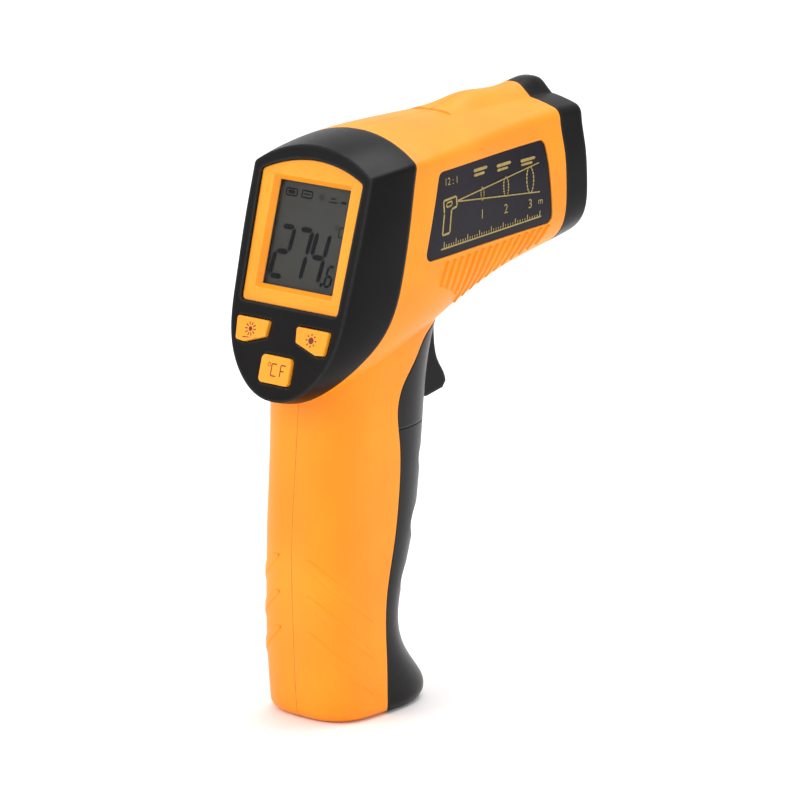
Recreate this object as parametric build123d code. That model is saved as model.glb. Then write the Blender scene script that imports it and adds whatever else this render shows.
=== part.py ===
"""Hand-held infrared thermometer: pistol-shaped, with a display hood, a trigger and a battery door.

Millimetres. +Z up, +Y towards the lens at the nose, X across. The origin is under the middle of the
object, at the height of the flat foot. Every sub-part is written to its own file in parts/.
"""
import os
from math import cos, radians, sin

from build123d import *

# ---- overall ----
OVERALL_LENGTH = 100.0      # chin of the display hood to the front of the nose
GRIP_HEIGHT = 84.0          # foot to the chin of the display hood
WALL = 2.0                  # moulded wall of the case
SEAM = 0.12                 # between two fixed mouldings
RUN = 0.25                  # round a moving moulding
CONTACT = 0.02              # radial play of a pressed pin
PIN_PLAY = 0.05             # radial play of a running pin
SLIP = 0.15                 # between a fitted inner piece and its seat

# ---- display hood ----
FACE_TILT = 15.5            # the face leans forward at its top
FACE_DROP = 58.4            # face datum down to the chin
FACE_CROWN = 6.0            # face datum up to the top of the arc
FACE_HALF = 19.5            # half the width of the face
HOOD_DEPTH = 11.0           # face datum to the widest section
HOOD_TILT = 12.0
HOOD_HALF = 21.5            # half the width at the rear edge of the hood

# ---- barrel and nose ----
BARREL_TOP = 65.4           # chin level up to the top of the barrel
BARREL_HALF = 18.6          # half the width at the nose
NOSE_DEPTH = 8.5            # length of the black nose piece
HUMP_RISE = 3.3             # laser hump above the barrel top
HUMP_HALF = 7.0             # half the width of the hump at its foot
NOSE_WALL = 2.4
HUMP_LENGTH = 40.0          # from the front of the nose to the start of the ramp
LABEL_DEPTH = 0.6
LABEL_THICK = 0.35
LABEL_CORNER = 2.0
SCREW_BOSS_R = 2.7
SCREW_R = 1.1
SCREW_HEAD_R = 2.1
SCREW_BITE = 8.0            # how far the pilots run into the right half
SCREW_SEAT = 8.0            # head seat, out from the middle
FOOT_ROUND = 3.0            # rounding round the foot
GRIP_WAIST = 0.42           # share of the grip's depth at which it is widest
REAR_BLUNT = 3.1            # power of the oval behind its widest line
FRONT_BLUNT = 2.8           # power of the oval in front of it
SCALLOP_R = 14.0            # finger scallops
CORNER_TURN = 41.5          # degrees from sideways that the grip's front corner faces
GRIP_HALF = 14.5            # half the width of the grip at the finger scallops
LENS_AXIS_RISE = 45.5       # chin level up to the optical axis
APERTURE_R = 11.0           # mouth of the nose
BARREL_R = 8.2              # outside of the sensor barrel
BARREL_LENGTH = 30.0
LENS_R = 6.6
LENS_THICK = 1.2
CONE_DEPTH = 6.0
DETECTOR_R = 4.6
LASER_R = 3.0
LASER_LENGTH = 15.0
LASER_HOLE_R = 1.7

# ---- display ----
WINDOW_HALF = 11.65
WINDOW_TOP = -3.7
WINDOW_BOTTOM = -29.8
FRAME_SUNK = 0.7            # display frame below the hood's face
WINDOW_SUNK = 2.3           # window below the hood's face
WINDOW_THICK = 0.8
LCD_THICK = 2.0
LCD_MARGIN = 1.4            # glass past the window
LCD_LEDGE = 3.0             # contact ledge below the picture
BACKLIGHT_THICK = 3.0
BOARD_THICK = 1.6
BUTTON_PROUD = 1.0
BUTTON_TRAVEL = 0.7
BUTTON_GAP = 0.2
SWITCH_HEIGHT = 0.9
WINDOW_EDGE = 1.3           # window hidden under the frame
PILLAR_R = 1.7
PILLAR_X = 9.3
PILLAR_V = -48.9
BOARD_SCREW_R = 0.8
FRAME_POSTS = [(15.0, -4.0), (15.0, -31.5)]
BUTTON_PLACES = [(-9.8, -41.4), (9.8, -41.4), (0.0, -50.5)]

# ---- trigger ----
TRIGGER_HALF = 4.6
TRIGGER_PIN_R = 1.0
SPRING_R = 1.9
SPRING_WIRE = 0.35

# ---- battery compartment ----
CELL_R = 5.25
CELL_LENGTH = 44.5
CELL_SPACING = 11.2
TRAY_BASE = 8.0
TRAY_WALL = 1.4
CELL_SPRING = 3.2
DOOR_DROP = 10.5            # top of the door below the chin
DOOR_SWING = 60.0           # degrees
EAR_IN = 8.6                # inner face of the hinge ears
EAR_THICK = 2.0
EAR_R = 2.0
LUG_R = 2.1
HINGE_PIN_R = 0.7
HINGE_Z = 2.8

# ---- worked out from the values above ----
NOSE_Y = OVERALL_LENGTH / 2
CHIN_Y = -OVERALL_LENGTH / 2
FACE_Y = CHIN_Y + FACE_DROP * sin(radians(FACE_TILT))
FACE_Z = GRIP_HEIGHT + FACE_DROP * cos(radians(FACE_TILT))
TOP_Z = GRIP_HEIGHT + BARREL_TOP
LENS_Z = GRIP_HEIGHT + LENS_AXIS_RISE
NOSE_REAR = NOSE_Y - NOSE_DEPTH
LASER_Z = TOP_Z - 2.9
HINGE_Y = CHIN_Y + 26.4 + HINGE_Z
BOARD_TOP = WINDOW_SUNK + WINDOW_THICK + 0.1 + LCD_THICK + BACKLIGHT_THICK
LCD_TOP = WINDOW_SUNK + WINDOW_THICK + 0.1
DOOR_TOP = GRIP_HEIGHT - DOOR_DROP
PIVOT_Y = CHIN_Y + 48.5
PIVOT_Z = GRIP_HEIGHT + 12.5
CELL_Y = CHIN_Y + 20.5
TRAY_LENGTH = 2 * TRAY_WALL + CELL_LENGTH + CELL_SPRING + 0.9
FACE = Plane(origin=(0, FACE_Y, FACE_Z), x_dir=(1, 0, 0),
             z_dir=(0, -cos(radians(FACE_TILT)), sin(radians(FACE_TILT))))
BIG = 4 * OVERALL_LENGTH


def mirrored(shape):
    """The same shape on the other side of the middle plane."""
    return mirror(shape, about=Plane.YZ)


def upright(y, tilt=0.0, z=0.0):
    """A section plane across the object at y, seen from behind, its top leaning forward by tilt."""
    return Plane(origin=(0, y, z), x_dir=(1, 0, 0),
                 z_dir=(0, -cos(radians(tilt)), sin(radians(tilt))))


def half_section(plane, crown, corner, corner_r, side, bottom, inset):
    """Right half of a closed outline: an arc across the top, a rounded corner, a spline down the side."""
    across, height = corner
    rise = crown - height
    top_r = (across ** 2 + rise ** 2) / (2 * rise)
    side_curve = Spline((across, height), *side, (0, bottom), tangents=[(0, -1), (-1, 0)])
    lean = Vector(across / top_r, (height - crown + top_r) / top_r)
    bisector = (lean + Vector(1, 0)) * (1 / (1 + lean.X))
    points = [Vector(across, height) - bisector * inset]
    for x, z in side:
        along = side_curve.tangent_at(side_curve.param_at_point((x, z)))
        points.append(Vector(x, z) - Vector(-along.Y, along.X) * inset)
    points.append(Vector(0, bottom + inset))
    start = points[0]
    crown_in = crown - inset
    rise = crown_in - start.Y
    top_r = (start.X ** 2 + rise ** 2) / (2 * rise)
    middle = (start.X / 2, crown_in - top_r + (top_r ** 2 - start.X ** 2 / 4) ** 0.5)
    arc = ThreePointArc((0, crown_in), middle, (start.X, start.Y))
    flank = Spline(*points, tangents=[(0, -1), (-1, 0)])
    closing = Line((0, bottom + inset), (0, crown_in))
    outline = make_face(Wire([arc, flank, closing]))
    sharp = outline.vertices().sort_by(lambda v: (v.X - start.X) ** 2 + (v.Y - start.Y) ** 2)[0]
    return (plane * fillet(sharp, max(corner_r - inset, 0.4))).face()


def head(inset=0.0):
    """Right half of the display hood and barrel, or of the space inside a wall of thickness inset."""
    base = GRIP_HEIGHT
    sections = [
        half_section(FACE, FACE_CROWN, (FACE_HALF, -0.2), 1.5,
                     [(FACE_HALF, -14), (FACE_HALF - 0.6, -30), (FACE_HALF - 3.2, -46.3), (10, -54.7)],
                     -FACE_DROP, inset),
        half_section(upright(FACE_Y + HOOD_DEPTH, HOOD_TILT, base + 57.2), 6.9, (HOOD_HALF - 0.1, 0.4), 2.0,
                     [(HOOD_HALF, -13), (HOOD_HALF - 0.3, -29), (HOOD_HALF - 3.2, -46.3), (11, -55.7)],
                     -FACE_DROP - 1.0, inset),
        half_section(upright(7.5), base + 65.2, (19.3, base + 59.8), 3.5,
                     [(20.0, base + 50), (20.0, base + 38), (17.4, base + 24.5), (10, base + 17.8)],
                     base + 16.2, inset),
        half_section(upright(NOSE_REAR), base + BARREL_TOP, (16.2, base + 62.5), 3.0,
                     [(17.9, base + 52.5), (BARREL_HALF, base + 43), (16.6, base + 31.8),
                      (9.8, base + 26.6)],
                     base + 25.2, inset),
        half_section(upright(NOSE_Y), base + BARREL_TOP, (16.2, base + 62.5), 3.0,
                     [(17.7, base + 52.5), (BARREL_HALF - 0.2, base + 44), (16.8, base + 33.8),
                      (9.8, base + 28.3)],
                     base + 27.0, inset),
    ]
    return loft(sections)


def grip_section(level, rear, front, half_width, inset):
    """Right half of the grip's outline at one height: a blunt oval, wider towards its back."""
    rear = rear + inset
    front = front - inset
    half_width = half_width - inset
    waist = rear + (front - rear) * GRIP_WAIST
    side = []
    for turn, reach, blunt in [(3, rear, REAR_BLUNT), (14, rear, REAR_BLUNT), (45, rear, REAR_BLUNT),
                               (90, rear, REAR_BLUNT), (60, front, FRONT_BLUNT), (35, front, FRONT_BLUNT),
                               (14, front, FRONT_BLUNT), (3, front, FRONT_BLUNT)]:
        across = half_width * sin(radians(turn)) ** (2 / blunt)
        side.append((across, waist + (reach - waist) * abs(cos(radians(turn))) ** (2 / blunt)))
    flank = Spline((0, rear), *side, (0, front), tangents=[(1, 0), (-1, 0)])
    closing = Line((0, front), (0, rear))
    return (Pos(0, 0, level) * make_face([flank, closing])).face()


def grip():
    """Right half of the grip as one solid, narrow at the little finger, with a rounded, flared foot."""
    rear = CHIN_Y + 7.5
    foot_back, foot_front, foot_half = 1.2, 41.0, 15.2
    stations = [(11, 0.6, 36.2, 15.0), (24.5, 0, 31.0, 14.6), (38, -0.4, 35.0, 14.4), (54, 0.1, 39.0, 14.6),
                (70, 1.5, 40.3, 15.1), (84, 2.6, 40.9, 16.0), (98, 4.2, 44.5, 16.2), (112, 6.0, 50.0, 15.0)]
    stretch = GRIP_HEIGHT / 84.0
    sections = [grip_section(FOOT_ROUND, rear + foot_back, rear + foot_front, foot_half, 0)]
    for height, back, front, half_width in stations:
        sections.append(grip_section(height * stretch, rear + back, rear + front, half_width, 0))
    rounding = []
    for turn in (0, 30, 60, 90):
        shrink = FOOT_ROUND * (1 - sin(radians(turn)))
        level = FOOT_ROUND * (1 - cos(radians(turn)))
        rounding.append(grip_section(level, rear + foot_back, rear + foot_front, foot_half, shrink))
    return loft(rounding) + loft(sections)


def grip_space(inset):
    """Right half of the space inside the grip, a smooth well that leaves a wall of at least inset."""
    rear = CHIN_Y + 7.5
    stations = [(24.5, 0, 30.2, 14.4), (60, 0.4, 37.8, 14.4), (84, 2.8, 39.8, 15.2), (108, 6.5, 44.0, 14.6)]
    stretch = GRIP_HEIGHT / 84.0
    sections = [grip_section(inset, rear + 2.4, rear + 33.5, 13.6, inset)]
    for height, back, front, half_width in stations:
        sections.append(grip_section(height * stretch, rear + back, rear + front, half_width, inset))
    return loft(sections)


def hump_section(y, rise, inset):
    """Outline of the laser hump across the barrel: a low rounded ridge."""
    base = TOP_Z - inset
    half = HUMP_HALF - inset
    foot = base - 4.0
    ridge = [(half, base - 0.9), (half * 0.62, base + rise * 0.42), (half * 0.28, base + rise * 0.93),
             (0, base + rise)]
    other = [(-x, z) for x, z in reversed(ridge[:-1])]
    curve = Spline(*ridge, *other)
    under = Polyline((-half, base - 0.9), (-half, foot), (half, foot), (half, base - 0.9))
    return (upright(y) * make_face([curve, under])).face()


def hump(inset=0.0):
    """The raised ridge over the laser, which ramps up from the barrel top."""
    start = NOSE_Y - HUMP_LENGTH
    stations = [(start, 0.05), (start + 4.0, 0.9), (start + 9.5, 2.3), (NOSE_REAR - 15, 2.7),
                (NOSE_REAR, HUMP_RISE - 0.3), (NOSE_Y, HUMP_RISE)]
    return loft([hump_section(y, rise, inset) for y, rise in stations], ruled=False)


def side_prism(outline, half_width=BIG):
    """A face drawn in the side view, carried across the object on both sides of its middle."""
    return extrude(Plane.YZ * outline, amount=half_width, both=True)


def side_polygon(points, half_width=BIG):
    """A prism across the object with straight sides, from (y, z) points."""
    return side_prism(make_face(Polyline(*points, close=True)), half_width)


def face_point(height, depth):
    """Side-view (y, z) of a place on the hood: height up the face from its datum, and depth behind it."""
    tilt = radians(FACE_TILT)
    return (FACE_Y + height * sin(tilt) + depth * cos(tilt), FACE_Z + height * cos(tilt) - depth * sin(tilt))


def hood_zone(shift=0.0):
    """Everything behind the parting line of the display hood, moved forward by shift."""
    line = [(12, 13.2), (6, 13.4), (0, 13.8), (-10, 14.8), (-20, 15.6), (-30, 15.8), (-38, 14.4),
            (-45, 11.2), (-52, 7.6), (-FACE_DROP, 5.0), (-FACE_DROP - 6, 3.2)]
    points = [face_point(v, d + shift) for v, d in line]
    curve = Spline(*points)
    rest = Polyline(points[-1], (-BIG, GRIP_HEIGHT - 12), (-BIG, TOP_Z + 20), points[0])
    return side_prism(make_face([curve, rest]))


def front_zone(gap=0.0):
    """Everything in front of the parting line down the grip: the trigger frame and the battery door."""
    stretch = GRIP_HEIGHT / 84.0
    line = [(58.0, 101.6), (48.0, 98.8), (40.5, 96.0), (35.8, 90.5), (31.4, 85), (29.8, 79.5), (31.2, 70),
            (31.6, 57), (29.8, 43), (27.2, 31), (26.5, 18)]
    points = [(CHIN_Y + y - gap, z * stretch + gap) for y, z in line]
    reach = HINGE_Z + gap
    corner = (HINGE_Y - reach, HINGE_Z)
    points.append(corner)
    curve = Spline(*points)
    if gap == 0.0:
        slant = HINGE_Z * sin(radians(45))
        foot = [ThreePointArc(corner, (HINGE_Y - slant, HINGE_Z - slant), (HINGE_Y, 0)),
                Line((HINGE_Y, 0), (HINGE_Y, -10))]
        last = (HINGE_Y, -10)
    else:
        turn = radians(DOOR_SWING)
        middle = radians(225 - DOOR_SWING / 2)
        through = (HINGE_Y + reach * cos(middle), HINGE_Z + reach * sin(middle))
        leave = (HINGE_Y - reach * sin(turn), HINGE_Z - reach * cos(turn))
        run = (leave[1] + 10) / sin(turn)
        last = (leave[0] + run * cos(turn), -10)
        foot = [ThreePointArc(corner, through, leave), Line(leave, last)]
    top_y, top_z = points[0]
    end_y = top_y + 2 * gap
    rest = Polyline(last, (BIG, -10), (BIG, top_z - 7), (end_y, top_z - 7), (end_y, top_z))
    if gap:
        foot.append(Line((end_y, top_z), (top_y, top_z)))
    return side_prism(make_face([curve, *foot, rest]))


RIGHT = Pos(BIG, 0, 0) * Box(2 * BIG, 2 * BIG, 2 * BIG)


def both(right):
    """A piece that crosses the middle plane, from its right half."""
    return right + mirrored(right)


def bar(radius, start, end):
    """A round bar from one point to another."""
    axis = Vector(end) - Vector(start)
    plane = Plane(origin=start, z_dir=axis)
    return plane * Cylinder(radius, axis.length, align=(Align.CENTER, Align.CENTER, Align.MIN))


def block(low, high):
    """A box from its lowest corner to its highest."""
    size = [b - a for a, b in zip(low, high)]
    middle = [(a + b) / 2 for a, b in zip(low, high)]
    return Pos(*middle) * Box(*size)


def face_plate(outline, top, bottom):
    """An outline drawn on the face, between two depths below it; a depth above the face is negative."""
    return extrude(FACE.offset(-bottom) * outline, amount=bottom - top)


# ---- the outside and the hollow ----
def envelope():
    """Right half of the whole outside of the case."""
    body = grip()
    stretch = GRIP_HEIGHT / 84.0
    for height, depth in [(63, 0.5), (46, 1.0), (31, 0.8)]:
        body = body - finger_groove(height * stretch, depth) - corner_groove(height * stretch, depth)
    return head() + body + (hump() & RIGHT)


def finger_groove(level, depth):
    """Round tool that cuts one finger's groove straight across the front of the grip."""
    middle = grip_front(level) + SCALLOP_R - depth
    return bar(SCALLOP_R, (-BIG, middle, level), (BIG, middle, level))


def corner_groove(level, depth):
    """Round tool that carries a finger's groove round the right front corner of the grip."""
    front = grip_front(level)
    waist = CHIN_Y + 7.5 + (front - CHIN_Y - 7.5) * GRIP_WAIST
    corner = Vector(GRIP_HALF * 0.74, waist + (front - waist) * 0.82, level)
    outward = Vector(cos(radians(CORNER_TURN)), sin(radians(CORNER_TURN)), 0)
    along = Vector(-sin(radians(CORNER_TURN)), cos(radians(CORNER_TURN)), 0)
    middle = corner + outward * (SCALLOP_R - depth)
    return bar(SCALLOP_R, middle - along * 30, middle + along * 30)


def grip_front(height):
    """How far forward the grip reaches at a height, half way between its foot and its neck."""
    share = height / GRIP_HEIGHT
    return CHIN_Y + 7.5 + 31.0 + 9.6 * sin(radians(90 * min(1.0, (share - 0.29) / 0.5)))


def hollow():
    """Right half of the space inside the case's wall."""
    space = head(WALL) - FACE * Pos(0, 0, BIG - WALL) * Box(2 * BIG, 2 * BIG, 2 * BIG)
    space = space - block((-BIG, NOSE_Y - NOSE_WALL, -BIG), (BIG, BIG, BIG))
    rear = NOSE_Y - HUMP_LENGTH + 9
    channel = bar(LASER_R + 0.6, (0, rear, LASER_Z), (0, NOSE_Y - NOSE_WALL, LASER_Z)) & RIGHT
    return [space, grip_space(WALL), channel]


def less(shape, tools):
    """The shape with each tool cut away, one after the other."""
    for tool in tools:
        shape = shape - tool
    return shape


def nose_zone(start):
    """Everything in front of the nose's parting plane."""
    return block((-BIG, start, -BIG), (BIG, BIG, BIG))


def label_outline(grow=0.0):
    """Side-view outline of the label's place on the barrel, a leaning rectangle with round corners."""
    corners = [(FACE_Y + 22.9 - grow, GRIP_HEIGHT + 54.9 + grow),
               (NOSE_REAR - 7.6 + grow, GRIP_HEIGHT + 56.4 + grow),
               (NOSE_REAR - 5.3 + grow, GRIP_HEIGHT + 34.5 - grow),
               (FACE_Y + 17.4 - grow, GRIP_HEIGHT + 32.7 - grow)]
    flat = make_face(Polyline(*corners, close=True))
    return fillet(flat.vertices(), LABEL_CORNER)


def label_band(outside, inside, grow):
    """Right side's skin between two depths below the barrel's surface, inside the label's outline."""
    prism = side_prism(label_outline(grow))
    return (head(outside) & prism) - (head(inside) & side_prism(label_outline(grow + 1.0)))


def screw_place(index):
    """Side-view places of the screws that join the two halves of the case."""
    places = [face_point(-41.5, 17.0), (NOSE_REAR - 6.5, GRIP_HEIGHT + 31.5),
              (CHIN_Y + 16.0, GRIP_HEIGHT * 0.8), (CHIN_Y + 18.0, WALL + 2.6)]
    return places[index]


def case_half(env, hollows):
    """Right half of the orange case, with its label recess and ribs."""
    case = env - hood_zone(SEAM) - nose_zone(NOSE_REAR - SEAM) - front_zone(RUN)
    case = less(case, hollows)
    case = case - label_band(0.0, LABEL_DEPTH, 0.0)
    return case - block((-BIG, -BIG, -BIG), (SEAM / 2, BIG, BIG))


def pillars(outer=SCREW_BOSS_R):
    """The four screw pillars of one half, trimmed just inside the outer surface."""
    inner_skin = [head(WALL / 2), grip_space(WALL * 0.8)]
    made = []
    for index in range(4):
        y, z = screw_place(index)
        pillar = bar(outer, (SEAM / 2, y, z), (BIG / 8, y, z))
        made.append(pillar & inner_skin[0 if index < 2 else 1])
    return made


def right_half(env, hollows):
    """Right half of the case, with blind pilots for the screws and the ear of the door's hinge."""
    case = case_half(env, hollows)
    for pillar in pillars():
        case = case + pillar
    for index in range(4):
        y, z = screw_place(index)
        case = case - bar(SCREW_R + CONTACT, (0, y, z), (SCREW_BITE, y, z))
    return case + hinge_ear()


def left_half(env, hollows):
    """Left half of the case: the same shell, with clearance holes and sunk seats for the screw heads."""
    case = case_half(env, hollows)
    for pillar in pillars(SCREW_HEAD_R + 1.0):
        case = case + pillar
    for index in range(4):
        y, z = screw_place(index)
        case = case - bar(SCREW_R + SLIP, (0, y, z), (BIG / 8, y, z))
        case = case - bar(SCREW_HEAD_R + SLIP, (SCREW_SEAT, y, z), (BIG / 8, y, z))
    return mirrored(case + hinge_ear())


def hinge_ear():
    """Lug that stands on the foot's floor and holds one end of the door's hinge pin."""
    arm = side_polygon([(HINGE_Y - 9, WALL - 0.6), (HINGE_Y - 9, HINGE_Z + 1.6), (HINGE_Y, HINGE_Z + EAR_R),
                        (HINGE_Y, HINGE_Z), (HINGE_Y - 3.4, HINGE_Z - 0.4),
                        (HINGE_Y - 3.4, WALL - 0.6)])
    ear = arm + bar(EAR_R, (-BIG, HINGE_Y, HINGE_Z), (BIG, HINGE_Y, HINGE_Z))
    ear = ear & block((EAR_IN, -BIG, 0), (EAR_IN + EAR_THICK, BIG, BIG))
    return ear - bar(HINGE_PIN_R + CONTACT, (-BIG, HINGE_Y, HINGE_Z), (BIG, HINGE_Y, HINGE_Z))


def case_screws():
    """Four self-tapping screws that pull the left half onto the right one."""
    made = []
    for index in range(4):
        y, z = screw_place(index)
        screw = bar(SCREW_HEAD_R, (-SCREW_SEAT - 1.6, y, z), (-SCREW_SEAT, y, z))
        screw = screw + bar(SCREW_R, (-SCREW_SEAT, y, z), (SCREW_BITE - 0.6, y, z))
        slot = block((-SCREW_SEAT - 1.7, y - 1.3, z - 0.3), (-SCREW_SEAT - 0.9, y + 1.3, z + 0.3))
        cross = block((-SCREW_SEAT - 1.7, y - 0.3, z - 1.3), (-SCREW_SEAT - 0.9, y + 0.3, z + 1.3))
        made.append(screw - slot - cross)
    return made


def hinge_pin():
    """Steel pin across the foot on which the battery door swings."""
    end = EAR_IN + EAR_THICK
    return bar(HINGE_PIN_R, (-end, HINGE_Y, HINGE_Z), (end, HINGE_Y, HINGE_Z))


def display_outline(grow=0.0):
    """Outline of the display frame on the face: an arched top, sides that close in a little downwards."""
    top = Spline((-16.9 - grow, -1.7), (-9, 1.1 + grow), (0, 2.2 + grow), (9, 1.1 + grow),
                 (16.9 + grow, -1.7))
    rest = Polyline((16.9 + grow, -1.7), (16.15 + grow, -34.7 - grow), (-16.15 - grow, -34.7 - grow),
                    (-16.9 - grow, -1.7))
    flat = make_face([top, rest])
    return fillet(flat.vertices(), 1.2)


def side_button_outline(side, grow=0.0):
    """Outline of the left or right button: square outside, cut away on a slant towards the middle one."""
    corners = [(4.6 - grow, -38.8 + grow), (15.4 + grow, -38.8 + grow), (14.8 + grow, -44.7 - grow),
               (12.0, -45.0 - grow), (5.1 - grow, -42.8 - grow)]
    flat = make_face(Polyline(*[(side * x, v) for x, v in corners], close=True))
    return fillet(flat.vertices(), 0.7)


def middle_button_outline(grow=0.0):
    """Outline of the lower button."""
    flat = Pos(0, -50.5) * Rectangle(10 + 2 * grow, 7 + 2 * grow)
    return fillet(flat.vertices(), 1.2)


def rear_bezel(env, hollows):
    """The black hood round the display, with its openings and the two pillars for the circuit board."""
    zone = hood_zone()
    hood = less(env & zone, hollows[:2])
    hood = both(hood)
    hood = hood - face_plate(display_outline(SLIP), -1.0, WALL + 1.0)
    for side in (-1, 1):
        hood = hood - face_plate(side_button_outline(side, BUTTON_GAP), -1.0, WALL + 1.0)
        pillar = face_plate(Pos(side * PILLAR_X, PILLAR_V) * Circle(PILLAR_R), WALL - 0.5, BOARD_TOP)
        hole = Pos(side * PILLAR_X, PILLAR_V) * Circle(BOARD_SCREW_R + CONTACT)
        pilot = face_plate(hole, WALL + 1.0, BOARD_TOP + 1)
        hood = hood + pillar - pilot
    return hood - face_plate(middle_button_outline(BUTTON_GAP), -1.0, WALL + 1.0)


def window_rectangle(grow):
    """The visible window's rectangle, made larger all round by grow."""
    height = WINDOW_TOP - WINDOW_BOTTOM
    middle = (WINDOW_TOP + WINDOW_BOTTOM) / 2
    return Pos(0, middle) * Rectangle(2 * (WINDOW_HALF + grow), height + 2 * grow)


def display_frame():
    """Orange surround of the display: a bevelled opening, a flange behind the hood, four board posts."""
    flange_top = WALL + 0.05
    flange_bottom = WINDOW_SUNK + WINDOW_THICK + 0.1
    frame = face_plate(display_outline(), FRAME_SUNK, flange_top)
    frame = frame + face_plate(display_outline(0.4), flange_top, flange_bottom)
    frame = frame - face_plate(window_rectangle(WINDOW_EDGE + SLIP), WINDOW_SUNK, flange_bottom + 1)
    bevel = loft([FACE.offset(-WINDOW_SUNK - 0.1) * window_rectangle(0),
                  FACE.offset(-FRAME_SUNK + 0.1) * window_rectangle(1.4)])
    frame = frame - bevel
    for x, v in FRAME_POSTS:
        for side in (-1, 1):
            place = Pos(side * x, v)
            post = face_plate(place * Circle(PILLAR_R), flange_bottom - 0.3, BOARD_TOP)
            pilot = face_plate(place * Circle(BOARD_SCREW_R + CONTACT), flange_bottom + 0.6, BOARD_TOP + 1)
            frame = frame + post - pilot
    return frame


def display_window():
    """Clear plastic window behind the frame's opening."""
    return face_plate(window_rectangle(WINDOW_EDGE), WINDOW_SUNK + 0.02, WINDOW_SUNK + WINDOW_THICK)


def lcd_rectangle(ledge):
    """Outline of the liquid-crystal cell, with a contact ledge of the given length below the picture."""
    top = WINDOW_TOP + LCD_MARGIN
    bottom = WINDOW_BOTTOM - LCD_MARGIN - ledge
    return Pos(0, (top + bottom) / 2) * Rectangle(2 * (WINDOW_HALF + LCD_MARGIN), top - bottom)


def lcd_glass():
    """The liquid-crystal cell."""
    return face_plate(lcd_rectangle(LCD_LEDGE), LCD_TOP, LCD_TOP + LCD_THICK)


def backlight_panel():
    """Light guide between the liquid-crystal cell and the board."""
    return face_plate(lcd_rectangle(0), LCD_TOP + LCD_THICK, BOARD_TOP)


def zebra_strip():
    """Rubber contact strip from the glass's ledge to the board."""
    v = WINDOW_BOTTOM - LCD_MARGIN - LCD_LEDGE / 2 - 0.2
    strip = Pos(0, v) * Rectangle(2 * WINDOW_HALF, LCD_LEDGE - 0.8)
    return face_plate(strip, LCD_TOP + LCD_THICK, BOARD_TOP)


def board_screw_places():
    """Places on the face of the six screws that hold the main board."""
    places = [(side * x, v) for x, v in FRAME_POSTS for side in (-1, 1)]
    return places + [(side * PILLAR_X, PILLAR_V) for side in (-1, 1)]


def main_board():
    """The main circuit board, behind the display and the buttons."""
    corners = [(16.4, -1.5), (16.4, -35), (10.9, -50), (7, -52.3), (-7, -52.3), (-10.9, -50),
               (-16.4, -35), (-16.4, -1.5)]
    board = face_plate(make_face(Polyline(*corners, close=True)), BOARD_TOP, BOARD_TOP + BOARD_THICK)
    for x, v in board_screw_places():
        hole = Pos(x, v) * Circle(BOARD_SCREW_R + SLIP)
        board = board - face_plate(hole, BOARD_TOP - 1, BOARD_TOP + BOARD_THICK + 1)
    return board


def board_screws():
    """Six small screws through the main board."""
    made = []
    back = BOARD_TOP + BOARD_THICK
    for x, v in board_screw_places():
        screw = face_plate(Pos(x, v) * Circle(1.6), back, back + 1.0)
        made.append(screw + face_plate(Pos(x, v) * Circle(BOARD_SCREW_R), BOARD_TOP - 3.0, back))
    return made


def main_chip():
    """The measuring processor on the back of the board."""
    back = BOARD_TOP + BOARD_THICK
    return face_plate(Pos(0, -14) * Rectangle(9, 9), back, back + 1.4)


def buzzer():
    """Round sounder on the back of the board."""
    back = BOARD_TOP + BOARD_THICK
    return face_plate(Pos(0, -30) * Circle(4.5), back, back + 3.4)


def button_switches():
    """Three small press switches on the board, one under each button."""
    made = []
    for x, v in BUTTON_PLACES:
        body = face_plate(Pos(x, v) * Rectangle(3.6, 3.6), BOARD_TOP - SWITCH_HEIGHT, BOARD_TOP)
        made.append(body + face_plate(Pos(x, v) * Circle(0.9), BOARD_TOP - SWITCH_HEIGHT - 0.4, BOARD_TOP))
    return made


def button(outline, flange, place):
    """A push button: its cap, a flange behind the hood, and a stem down to its switch."""
    x, v = place
    cap = face_plate(outline, -BUTTON_PROUD, WALL)
    rim = [e for e in cap.edges() if FACE.to_local_coords(e.center()).Z > BUTTON_PROUD - 0.01]
    cap = fillet(rim, 0.35)
    room = both(head(WALL + SLIP))
    neck = face_plate(outline, WALL - 0.3, WALL + BUTTON_GAP + 0.2) & room
    plate = face_plate(flange, WALL + BUTTON_GAP, WALL + BUTTON_GAP + 1.0) & room
    end = BOARD_TOP - SWITCH_HEIGHT - 0.4 - BUTTON_TRAVEL - 0.1
    return cap + neck + plate + face_plate(Pos(x, v) * Circle(1.2), WALL + 1.0, end)


def nose_ring(env, hollows):
    """The black nose: it closes the barrel, carries the lens cone and the laser's opening."""
    nose = less(env & nose_zone(NOSE_REAR), hollows)
    nose = both(nose)
    cone_back = NOSE_Y - CONE_DEPTH
    nose = nose + bar(APERTURE_R + 1.8, (0, cone_back, LENS_Z), (0, NOSE_Y - 1.0, LENS_Z))
    slope = Plane(origin=(0, cone_back - 0.01, LENS_Z), z_dir=(0, 1, 0))
    cone = slope * Cone(LENS_R, APERTURE_R, CONE_DEPTH + 0.02, align=(Align.CENTER, Align.CENTER, Align.MIN))
    nose = nose - cone
    return nose - bar(LASER_HOLE_R, (0, NOSE_Y - 5, LASER_Z), (0, NOSE_Y + 1, LASER_Z))


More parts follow.
